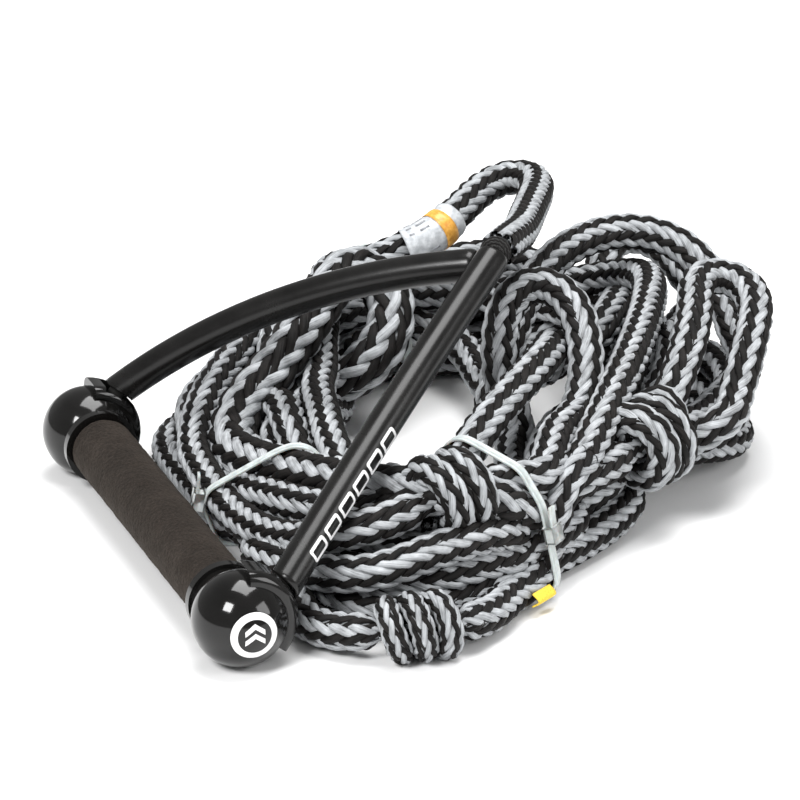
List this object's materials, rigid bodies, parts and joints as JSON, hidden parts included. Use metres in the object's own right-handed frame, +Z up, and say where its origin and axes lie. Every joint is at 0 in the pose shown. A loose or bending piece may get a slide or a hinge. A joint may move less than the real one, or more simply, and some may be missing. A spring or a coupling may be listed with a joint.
{
  "type": "tow rope handle",
  "caption": "Wakesurf tow handle: foam-gripped floating bar with ball ends, two sleeved bridle arms and a braided rope stored in a tied coil.",
  "frame": {"origin": "on the floor under the middle of the handle and bridle, leaving out the rope", "axes": "+Z up, +Y along the handle bar from the near ball to the far ball, +X from the bar towards the bridle's apex"},
  "size_m": [0.3272, 0.3642, 0.1275],
  "materials": {
    "bar": "satin anodised tube",
    "foam": "closed-cell foam rod",
    "grip": "brushed foam rubber with a suede nap",
    "ball_plastic": "glossy black moulded plastic",
    "arm_tube": "glossy black extruded tube",
    "core_rope": "black braided rope core",
    "rope": "two-colour braid of grey-white and black multifilament yarns",
    "nylon": "natural nylon",
    "white_print": "white printed ink",
    "label_film": "silver-white printed film",
    "label_band": "orange printed film",
    "yellow_tag": "yellow woven tag"
  },
  "bodies": {
    "rope": {"rope_coil": "rope", "rope_lead": "rope", "rope_eye": "rope", "rope_bridge": "rope", "rope_crossing": "rope", "rope_arch": "rope", "rope_right_loop": "rope", "rope_tail": "rope", "knot_middle": "rope", "knot_right": "rope", "knot_tail": "rope", "tie_strap_left": "nylon", "tie_strap_back": "nylon", "tie_strap_front": "nylon", "tie_head_left": "nylon", "tie_head_back": "nylon", "tie_head_front": "nylon", "label_wrap": "label_film", "label_band": "label_band", "care_tag": "yellow_tag"},
    "bridle": {"bridle_sleeve_near": "arm_tube", "bridle_sleeve_far": "arm_tube", "bridle_rope_near": "core_rope", "bridle_rope_far": "core_rope", "end_knot_near": "core_rope", "end_knot_far": "core_rope", "apex_splice": "rope", "arm_print": "white_print"},
    "handle": {"handle_tube": "bar", "foam_core": "foam", "grip_sleeve": "grip", "ball_cap_near": "ball_plastic", "ball_cap_far": "ball_plastic", "end_plug_near": "ball_plastic", "end_plug_far": "ball_plastic", "badge_print_near": "white_print", "badge_print_far": "white_print"}
  },
  "joints": [
    {"name": "bridle_lift", "type": "hinge", "parent": "rope", "child": "bridle", "pos_m": [0.083, 0.003, 0.1205], "axis": [0, 1, 0], "range_deg": [0, 60]},
    {"name": "handle_roll", "type": "hinge", "parent": "bridle", "child": "handle", "pos_m": [-0.07, 0, 0.02], "axis": [0, 1, 0], "range_deg": [-12, 12]}
  ]
}
